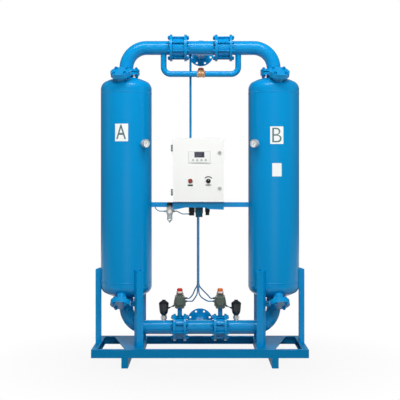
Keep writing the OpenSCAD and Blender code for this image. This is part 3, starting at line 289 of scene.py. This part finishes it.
def arc(piece, place, r_in, r_out, start, end, t, steps=32):
    """Band between two radii; angles in degrees clockwise from the top."""
    part = bmesh.new()
    bmesh.ops.create_grid(part, x_segments=1, y_segments=1, size=0.5)
    bmesh.ops.scale(part, vec=(r_out - r_in, t, 1), verts=part.verts)
    bmesh.ops.rotate(part, cent=(0, 0, 0), matrix=Matrix.Rotation(math.pi / 2, 3, "X"), verts=part.verts)
    bmesh.ops.translate(part, vec=((r_in + r_out) / 2, 0, t / 2), verts=part.verts)
    first = Matrix.Rotation(math.radians(90 - start), 3, "Z")
    bmesh.ops.rotate(part, cent=(0, 0, 0), matrix=first, verts=part.verts)
    bmesh.ops.spin(part, geom=part.verts[:] + part.edges[:] + part.faces[:], cent=(0, 0, 0), axis=(0, 0, 1),
                   angle=math.radians(start - end), steps=steps)
    join(piece, part, place)


def bead(piece, place, radius, thick=0.0032, steps=64):
    """Rounded weld bead, a ring about the local Z axis."""
    part = bmesh.new()
    bmesh.ops.create_circle(part, segments=10, radius=thick)
    bmesh.ops.rotate(part, cent=(0, 0, 0), matrix=Matrix.Rotation(math.pi / 2, 3, "X"), verts=part.verts)
    bmesh.ops.translate(part, vec=(radius, 0, 0), verts=part.verts)
    bmesh.ops.spin(part, geom=part.verts[:] + part.edges[:], cent=(0, 0, 0), axis=(0, 0, 1), angle=math.tau,
                   steps=steps, use_merge=True)
    join(piece, part, place)


def letters(body, size, thick, bold=0.0):
    """Mesh of a generic letter or number, centred on the local XY plane and rising from it."""
    curve = bpy.data.curves.new("lettering", "FONT")
    curve.body = body
    curve.size = size
    curve.align_x = "CENTER"
    curve.align_y = "CENTER"
    curve.extrude = thick / 2
    curve.offset = bold
    obj = bpy.data.objects.new("lettering", curve)
    bpy.context.collection.objects.link(obj)
    mesh = bpy.data.meshes.new_from_object(obj.evaluated_get(bpy.context.evaluated_depsgraph_get()))
    bpy.data.objects.remove(obj)
    part = bmesh.new()
    part.from_mesh(mesh)
    bpy.data.meshes.remove(mesh)
    bmesh.ops.translate(part, vec=(0, 0, thick / 2), verts=part.verts)
    return part


def facing(centre, out):
    """Place on a face that looks along out: X to the viewer's right, Y up, Z outwards."""
    z = Vector(out).normalized()
    y = Vector((0, 0, 1))
    place = Matrix((y.cross(z), y, z)).transposed().to_4x4()
    place.translation = centre
    return place


def pointing(start, along):
    """Place with its Z axis along a direction."""
    return Matrix.Translation(start) @ Vector(along).to_track_quat("Z", "Y").to_matrix().to_4x4()


def add(name, piece, mat, body="dryer"):
    """Makes the finished piece an object that rides on a body."""
    mesh = bpy.data.meshes.new(name)
    piece.to_mesh(mesh)
    piece.free()
    mesh.materials.append(mat)
    mesh.shade_smooth()
    mesh.set_sharp_from_angle(angle=math.radians(35))
    obj = bpy.data.objects.new(name, mesh)
    bpy.context.collection.objects.link(obj)
    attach(obj, body)


# Tower plates and the blank sticker, bent to the shell

def wrap(part, side, turn, z, lift):
    """Bends a flat part round a tower, its thickness pointing outwards."""
    for step in range(-14, 15):
        geom = part.verts[:] + part.edges[:] + part.faces[:]
        bmesh.ops.bisect_plane(part, geom=geom, plane_co=(step * 0.003, 0, 0), plane_no=(1, 0, 0))
    for v in part.verts:
        angle = turn + v.co.x / TOWER_R
        r = TOWER_R + lift + v.co.z
        v.co = (side * TOWER_X + r * math.sin(angle), -r * math.cos(angle), z + v.co.y)
    piece = bmesh.new()
    join(piece, part)
    return piece


# Width, height, thickness and corner radius, and the film of glue under them
PLATE = (0.0825, 0.110, 0.0008, 0.004)
STICKER = (0.059, 0.083, 0.0004, 0.003)
GLUE = 0.0003
for side, letter, turn, z, size, narrow, bold, slip in (
        (-1, "A", -0.112, 1.446, 0.131, 0.70, 0.0003, (-0.0028, -0.002, 0)),
        (1, "B", 0.048, 1.429, 0.138, 0.93, -0.0016, (-0.003, -0.005, 0))):
    add("plate_" + letter, wrap(flat(*PLATE), side, turn, z, GLUE), LABEL)
    sign = letters(letter, size, 0.0003, bold)
    bmesh.ops.scale(sign, vec=(narrow, 1, 1), verts=sign.verts)
    bmesh.ops.translate(sign, vec=slip, verts=sign.verts)
    add("letter_" + letter, wrap(sign, side, turn, z, 0.0012), INK)
add("blank_sticker", wrap(flat(*STICKER), 1, 0.053, 1.214, GLUE), LABEL)

# Pressure gauge dials
for side, tag in ((-1, "A"), (1, "B")):
    out = Vector((-side * math.sin(GAUGE_TURN), -math.cos(GAUGE_TURN), 0))
    dial = facing(Vector((side * TOWER_X, 0, GAUGE_Z)) + out * GAUGE_DIAL, out)
    piece = bmesh.new()
    turned(piece, dial, [(0.0017, 0.0001), (0.0228, 0.0001), (0.0228, 0.0003), (0.0017, 0.0003),
                         (0.0017, 0.0001)])
    add("gauge_dial_" + tag, piece, LABEL)
    piece = bmesh.new()
    for i in range(41):
        long = i % 10 == 0
        spoke = dial @ Matrix.Rotation(math.radians(135 - 6.75 * i), 4, "Z")
        slab(piece, spoke, 0, 0.0194 if long else 0.0201, 0.0003, 0.0006 if long else 0.0003,
             0.0032 if long else 0.0018, 0.00015)
    arc(piece, dial @ Matrix.Translation((0, 0, 0.0003)), 0.0209, 0.0213, -135, 135, 0.00015, 48)
    for i, number in enumerate(("0", "4", "8", "12", "16")):
        angle = math.radians(225 - 67.5 * i)
        spot = Matrix.Translation((0.0142 * math.cos(angle), 0.0142 * math.sin(angle), 0.0003))
        join(piece, letters(number, 0.0058, 0.00015), dial @ spot)
    add("gauge_marks_" + tag, piece, MARK)
    piece = bmesh.new()
    turned(piece, dial, [(0, 0.0046), (0.0226, 0.0046), (0.0228, 0.0048), (0.0228, 0.0053),
                         (0.0224, 0.0056), (0, 0.0058)])
    add("gauge_glass_" + tag, piece, GLASS)

# Controller face: screen, keys and marks
face = facing(DISPLAY, (0, -1, 0))
KEYS = [-0.0398 + 0.0265 * i for i in range(4)]
KEY_Y = -0.0185
piece = bmesh.new()
slab(piece, face, 0, 0.015, -0.0015, 0.0624, 0.0354, 0.0006, 0.0006)
add("lcd", piece, SCREEN, "door")
piece = bmesh.new()
for row, count in ((0.026, 9), (0.018, 7), (0.010, 8), (0.003, 5)):
    for i in range(count):
        slab(piece, face, -0.0265 + i * 0.006, row, -0.0009, 0.0040, 0.0036, 0.0001, 0.0004)
add("lcd_segments", piece, SEGMENT, "door")
piece = bmesh.new()
for x in KEYS:
    turned(piece, face @ Matrix.Translation((x, KEY_Y, 0)),
           [(0.0066, 0), (0.0066, 0.0006), (0.0052, 0.0011), (0, 0.0011)], 32)
for y in (0.0368, -0.0368):
    slab(piece, face, 0, y, 0, 0.1370, 0.0016, 0.0002)
for x in (0.0677, -0.0677):
    slab(piece, face, x, 0, 0, 0.0016, 0.0720, 0.0002)
for i in range(14):
    slab(piece, face, -0.0455 + 0.007 * i, -0.0325, 0, 0.0050, 0.0022, 0.0002, 0.0004)
add("panel_keys", piece, PALE_MARK, "door")
piece = bmesh.new()
for i, x in enumerate(KEYS):
    slab(piece, face, x, KEY_Y, 0.0011, 0.0055, 0.0014, 0.0002, 0.0005)
    if i % 2 == 0:
        slab(piece, face, x, KEY_Y, 0.0011, 0.0014, 0.0055, 0.0002, 0.0005)
add("key_signs", piece, LABEL, "door")

# Lamp and selector: bezels, plates, arc and words
door = facing(Vector((0, DOOR_FRONT, PANEL_Z)), (0, -1, 0))
piece = bmesh.new()
for x, r in ((LAMP_X, 0.0140), (KNOB_X, 0.0145)):
    turned(piece, door @ Matrix.Translation((x, 0, 0)),
           [(r, 0), (r + 0.002, 0), (r + 0.002, 0.003), (r + 0.001, 0.004), (r, 0.004), (r, 0)])
add("panel_bezels", piece, STEEL, "door")
piece = bmesh.new()
slab(piece, door, LAMP_X, -0.0270, 0, 0.033, 0.0100, 0.0006, 0.001)
add("lamp_plate", piece, GREEN, "door")
piece = bmesh.new()
slab(piece, door, KNOB_X, -0.0255, 0, 0.034, 0.0090, 0.0006, 0.001)
add("selector_plate", piece, GREY, "door")
piece = bmesh.new()
arc(piece, door @ Matrix.Translation((KNOB_X, 0, 0)), 0.0235, 0.0305, -52, 52, 0.0004)
add("selector_arc", piece, MARK, "door")
piece = bmesh.new()
for x, word in ((KNOB_X - 0.0085, "OFF"), (KNOB_X + 0.0095, "ON")):
    join(piece, letters(word, 0.0068, 0.0002), door @ Matrix.Translation((x, -0.0255, 0.0006)))
add("selector_words", piece, LABEL, "door")
piece = bmesh.new()
slab(piece, door, KNOB_X, 0.006, 0.019, 0.0018, 0.0085, 0.0003, 0.0006)
add("selector_line", piece, LABEL, "selector")

# Grey sleeves on the hinge knuckles, shared between box and door
for body, spans in (("dryer", ((-0.0210, -0.0106), (0.0106, 0.0210))), ("door", ((-0.0098, 0.0098),))):
    piece = bmesh.new()
    for z in HINGE_HEIGHTS:
        for low, high in spans:
            turned(piece, Matrix.Translation(HINGE + Vector((0, 0, z))),
                   [(0.0056, low), (0.0062, low + 0.0004), (0.0062, high - 0.0004), (0.0056, high),
                    (0.0056, low)], 32)
        if body == "door":
            leaf = facing(HINGE + Vector((0.0025, HINGE_LEAF, z)), (0, -1, 0))
            slab(piece, leaf, 0, 0, 0, 0.0085, 0.0194, 0.0008, 0.001)
    add("hinge_sleeves_" + body, piece, GREY, body)


# Actuators: cap screws, pale collars and pointers under and on the position caps

def screw(piece, place, r, h):
    """Socket-head cap screw standing on the local XY plane."""
    turned(piece, place, [(0, 0), (r, 0), (r, h * 0.85), (r * 0.9, h), (r * 0.55, h), (r * 0.55, h * 0.45),
                          (0, h * 0.45)], 20)


piece = bmesh.new()
for side in (-1, 1):
    centre = Vector((side * BUTTERFLY_X, 0, ACTUATOR_MID))
    for x in (-1, 1):
        for y in (-1, 1):
            end_cap = centre + Vector((x * 0.0235, y * 0.060, -y * 0.0300))
            top = centre + Vector((x * 0.019, y * 0.036, 0.038))
            screw(piece, pointing(end_cap, (0, y, 0)), 0.0042, 0.0045)
            screw(piece, Matrix.Translation(top), 0.0034, 0.004)
add("actuator_screws", piece, STEEL)
for side, tag in ((-1, "A"), (1, "B")):
    cap = Matrix.Translation((side * BUTTERFLY_X, 0, INDICATOR_Z))
    piece = bmesh.new()
    turned(piece, cap, [(0.0211, 0.0004), (0.0216, 0.0008), (0.0216, 0.0112), (0.0206, 0.0122),
                        (0.0172, 0.0122), (0.0172, 0.0112), (0.0211, 0.0104), (0.0211, 0.0004)])
    add("cap_collar_" + tag, piece, COLLAR, "disc_" + tag)
    piece = bmesh.new()
    slab(piece, cap, 0, 0, 0.030, 0.0035, 0.018, 0.0008, 0.0012)
    add("cap_pointer_" + tag, piece, LABEL, "disc_" + tag)


# Release collars where air tubes enter their fittings

def release(piece, start, along, tube):
    """Push-in collar round a tube of the given radius."""
    r = tube + 0.0002
    turned(piece, pointing(start, along),
           [(r, 0), (r + 0.0020, 0), (r + 0.0020, 0.0030), (r + 0.0012, 0.0038), (r + 0.0012, 0.0056),
            (r, 0.0060), (r, 0)], 28)


piece = bmesh.new()
run = (PILOT_TO - PILOT_FROM).normalized()
for side in (-1, 1):
    mirrored = Vector((side, 1, 1))
    for y, z in ((0.012, 0.011), (-0.012, -0.005)):
        release(piece, (side * 0.088, y, ACTUATOR_MID + z), (-side, 0, 0), 0.004)
    release(piece, (PILOT_FROM + 0.016 * run) * mirrored, run * mirrored, 0.003)
    release(piece, (PILOT_TO - 0.038 * run) * mirrored, -run * mirrored, 0.003)
release(piece, (-0.164, -0.0355, 0.952), (1, 0, 0), 0.003)
release(piece, (-0.220, -0.0355, 0.952), (-1, 0, 0), 0.003)
release(piece, (-0.068, -0.0355, 0.935), (-1, 0, 0), 0.003)
add("release_collars", piece, BLACK)

# Filter regulator: gauge face and collar rings
dial = facing(REGULATOR + Vector((0, -0.032, 0.017)), (0, -1, 0))
piece = bmesh.new()
turned(piece, dial, [(0, 0), (0.0122, 0), (0.0122, 0.0003), (0, 0.0003)])
add("regulator_dial", piece, LABEL)
piece = bmesh.new()
turned(piece, dial, [(0.0122, 0), (0.0141, 0), (0.0141, 0.0014), (0.0128, 0.0018), (0.0122, 0.0008),
                     (0.0122, 0)])
add("regulator_bezel", piece, STEEL)
piece = bmesh.new()
for i in range(11):
    spoke = dial @ Matrix.Rotation(math.radians(120 - 24 * i), 4, "Z")
    slab(piece, spoke, 0, 0.0102, 0.0003, 0.0004, 0.002, 0.0001)
add("regulator_marks", piece, MARK)
piece = bmesh.new()
for low in (0.0435, 0.0485):
    turned(piece, Matrix.Translation(REGULATOR),
           [(0.0181, low), (0.0185, low + 0.0004), (0.0185, low + 0.0021), (0.0181, low + 0.0025),
            (0.0181, low)])
add("regulator_rings", piece, BLACK)

# Weld beads behind the pipe flanges
piece = bmesh.new()
for tag, side in (("A", -1), ("B", 1)):
    for pipe, z in (("outlet_pipe_", OUTLET_Z), ("inlet_pipe_", INLET_Z)):
        low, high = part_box(pipe + tag)
        face_x = high[0] if side < 0 else low[0]
        bead(piece, pointing((face_x + side * (FLANGE + 0.001), 0, z), (1, 0, 0)), PIPE_R)
        end_z = low[2] + FLANGE + 0.001 if z > 1 else high[2] - FLANGE - 0.001
        bead(piece, Matrix.Translation((side * TOWER_X, 0, end_z)), PIPE_R)
for header, z in (("outlet_header", OUTLET_Z), ("inlet_header", INLET_Z)):
    low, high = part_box(header)
    for x in (low[0] + FLANGE + 0.001, high[0] - FLANGE - 0.001):
        bead(piece, pointing((x, 0, z), (1, 0, 0)), PIPE_R)
    bead(piece, pointing(((low[0] + high[0]) / 2, high[1] - FLANGE - 0.001, z), (0, 1, 0)), PIPE_R)
add("weld_beads", piece, BLUE)

# Floor, light and camera
paper = bpy.data.materials.new("white_floor")
paper.use_nodes = True
tree = paper.node_tree
shade = tree.nodes["Principled BSDF"]
shade.inputs["Base Color"].default_value = (0.2, 0.2, 0.2, 1)
shade.inputs["Roughness"].default_value = 0.9
shade.inputs["Specular IOR Level"].default_value = 0.0
glow = tree.nodes.new("ShaderNodeEmission")
glow.inputs["Strength"].default_value = 1.0
coord = tree.nodes.new("ShaderNodeTexCoord")
far = tree.nodes.new("ShaderNodeVectorMath")
far.operation = "LENGTH"
fade = tree.nodes.new("ShaderNodeMapRange")
for label, value in (("From Min", 0.5), ("From Max", 1.5), ("To Min", 0.91), ("To Max", 1.0)):
    fade.inputs[label].default_value = value
share = tree.nodes.new("ShaderNodeMath")
share.operation = "MULTIPLY"
mix = tree.nodes.new("ShaderNodeMixShader")
path = tree.nodes.new("ShaderNodeLightPath")
seen = path.outputs["Is Camera Ray"]
for ray in ("Is Glossy Ray", "Is Transmission Ray"):
    either = tree.nodes.new("ShaderNodeMath")
    either.operation = "MAXIMUM"
    tree.links.new(seen, either.inputs[0])
    tree.links.new(path.outputs[ray], either.inputs[1])
    seen = either.outputs[0]
tree.links.new(coord.outputs["Object"], far.inputs[0])
tree.links.new(far.outputs["Value"], fade.inputs["Value"])
tree.links.new(fade.outputs["Result"], share.inputs[1])
tree.links.new(seen, share.inputs[0])
tree.links.new(share.outputs[0], mix.inputs["Fac"])
tree.links.new(shade.outputs["BSDF"], mix.inputs[1])
tree.links.new(glow.outputs["Emission"], mix.inputs[2])
tree.links.new(mix.outputs[0], tree.nodes["Material Output"].inputs["Surface"])


def sheet(name, place, w, h, mirrored=True):
    """Flat sheet of the white stage. One that is not mirrored is a plain white for the camera alone."""
    piece = bmesh.new()
    spread = place @ Matrix.Diagonal((w, h, 1, 1))
    bmesh.ops.create_grid(piece, x_segments=2, y_segments=2, size=0.5, matrix=spread)
    mesh = bpy.data.meshes.new(name)
    piece.to_mesh(mesh)
    piece.free()
    mesh.materials.append(paper)
    obj = bpy.data.objects.new(name, mesh)
    bpy.context.collection.objects.link(obj)
    for rays in ("visible_glossy", "visible_diffuse", "visible_shadow"):
        setattr(obj, rays, mirrored)


sheet("floor", Matrix.Translation((0, 3.7, 0)), 18, 10.6)
sheet("floor_front", Matrix.Translation((0, -5.3, 0)), 18, 7.4, mirrored=False)
sheet("backdrop", facing(Vector((0, 9, 2.2)), (0, -1, 0)), 6.8, 4.6)
for x, y in ((-1, 0), (1, 0), (0, -1), (0, 1)):
    sheet("surround", facing(Vector((9 * x, 9.1 * y, 2.2)), (-x, -y, 0)), 18.2, 4.6, mirrored=False)

world = bpy.data.worlds.new("studio")
bpy.context.scene.world = world
world.use_nodes = True
ambient = world.node_tree.nodes["Background"]
ambient.inputs["Color"].default_value = (0.95, 1.0, 0.86, 1)
ambient.inputs["Strength"].default_value = 0.17


def light(name, energy, place, aim, size, size_y, mirrored=True):
    """Area lamp. One that is not mirrored leaves no bright patch on glossy paint."""
    data = bpy.data.lights.new(name, "AREA")
    data.energy = energy
    data.shape = "RECTANGLE"
    data.size = size
    data.size_y = size_y
    obj = bpy.data.objects.new(name, data)
    bpy.context.collection.objects.link(obj)
    obj.location = place
    obj.rotation_euler = (Vector(aim) - Vector(place)).to_track_quat("-Z", "Y").to_euler()
    obj.visible_glossy = mirrored


light("overhead", 98, (0.0, -1.9, 4.4), (0, -0.2, 1.0), 3.4, 0.9)
light("key", 142, (0.7, -5.0, 3.7), (0, 0, 1.3), 2.4, 1.0, mirrored=False)
light("front_soft", 40, (0.3, -5.6, 0.9), (0, 0, 0.9), 3.0, 1.6, mirrored=False)
light("back_soft", 110, (0.0, 5.0, 2.6), (0, 0, 1.1), 3.0, 1.6, mirrored=False)
for x in (-5.0, 5.0):
    light("side_soft", 45, (x, -0.4, 2.2), (0, 0, 1.1), 1.6, 1.6, mirrored=False)

camera_data = bpy.data.cameras.new("camera")
camera = bpy.data.objects.new("camera", camera_data)
bpy.context.collection.objects.link(camera)
camera.location = (0.0, -6.160, 1.144)
camera.rotation_euler = (math.pi / 2, 0, 0)
camera_data.sensor_width = 36
camera_data.lens = 86.83
camera_data.shift_y = -0.0475
camera_data.clip_end = 100
bpy.context.scene.camera = camera
bpy.context.scene.view_settings.view_transform = "Standard"
